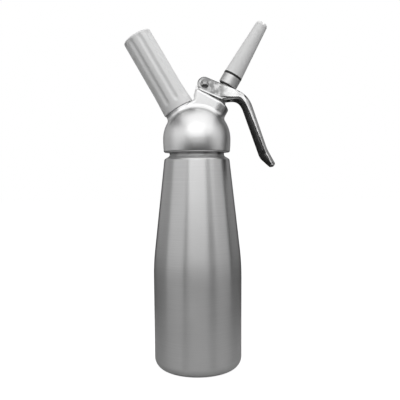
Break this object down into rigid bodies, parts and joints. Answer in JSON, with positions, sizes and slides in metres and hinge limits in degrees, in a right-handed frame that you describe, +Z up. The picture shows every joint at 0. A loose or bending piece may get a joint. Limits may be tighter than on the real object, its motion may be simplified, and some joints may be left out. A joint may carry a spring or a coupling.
{
  "type": "cream whipper",
  "caption": "Tall metal bottle with a domed screw-on head; one leaning arm takes a gas charger, the other a lever-worked valve with a decorating tip for whipped cream.",
  "frame": {"origin": "centre of the bottle's flat underside", "axes": "+Z up the bottle, +X towards the nozzle arm and lever, -X towards the charger arm"},
  "size_m": [0.1469, 0.0878, 0.3438],
  "materials": {
    "brushed_aluminium": "brushed round its axis",
    "cast_aluminium": "bead blasted",
    "chromed_casting": "plated over a die casting",
    "turned_steel": "turned",
    "charger_steel": "drawn",
    "spring_steel": "drawn wire",
    "light_plastic": "satin moulded",
    "rubber": "matt"
  },
  "bodies": {
    "bottle": {"bottle": "brushed_aluminium"},
    "gasket": {"head_gasket": "rubber"},
    "head": {"head_casting": "cast_aluminium", "piercing_insert": "turned_steel", "piercing_pin": "turned_steel", "charger_seal": "rubber", "check_valve_sleeve": "rubber", "lever_pin": "chromed_casting", "pin_clip": "spring_steel", "valve_spring": "spring_steel"},
    "charger": {"gas_charger": "charger_steel", "charger_cap": "charger_steel"},
    "holder": {"charger_holder": "light_plastic"},
    "lever": {"lever": "chromed_casting"},
    "valve": {"valve_stem": "turned_steel", "valve_gasket": "rubber", "stem_o_ring": "rubber", "spring_collar": "turned_steel", "tip_adapter": "turned_steel"},
    "tip_ring": {"tip_seal": "rubber"},
    "tip": {"decorator_tip": "light_plastic"}
  },
  "joints": [
    {"name": "head_lift", "type": "slide", "parent": "bottle", "child": "gasket", "axis": [0, 0, 1], "range_m": [0, 0.021]},
    {"name": "head_turn", "type": "hinge", "parent": "gasket", "child": "head", "pos_m": [0, 0, 0.2277], "axis": [0, 0, 1], "range_deg": [0, 2160]},
    {"name": "charger_lift", "type": "slide", "parent": "head", "child": "charger", "axis": [-0.5, 0, 0.866], "range_m": [0, 0.0126]},
    {"name": "holder_turn", "type": "hinge", "parent": "charger", "child": "holder", "pos_m": [0, 0, 0.2277], "axis": [-0.5, 0, 0.866], "range_deg": [0, 2520.01]},
    {"name": "lever_swing", "type": "hinge", "parent": "head", "child": "lever", "pos_m": [0.00796, 0, 0.28049], "axis": [0, 1, 0], "range_deg": [0, 4.5], "stiffness_Nm_per_rad": 6, "springref_deg": -8.59},
    {"name": "valve_slide", "type": "slide", "parent": "head", "child": "valve", "axis": [-0.5, 0, -0.866], "range_m": [0, 0.0016], "deforming": ["valve_spring"]},
    {"name": "tip_lift", "type": "slide", "parent": "valve", "child": "tip_ring", "axis": [0.5, 0, 0.866], "range_m": [0, 0.0105]},
    {"name": "tip_turn", "type": "hinge", "parent": "tip_ring", "child": "tip", "pos_m": [0, 0, 0.2277], "axis": [0.5, 0, 0.866], "range_deg": [0, 2520.01]}
  ],
  "couplings": [
    {"joint": "head_lift", "follows": "head_turn", "m_per_rad": 0.00055704},
    {"joint": "holder_turn", "follows": "charger_lift", "rad_per_m": 3490.7},
    {"joint": "valve_slide", "follows": "lever_swing", "m_per_rad": 0.0195},
    {"joint": "tip_turn", "follows": "tip_lift", "rad_per_m": 4188.8}
  ]
}
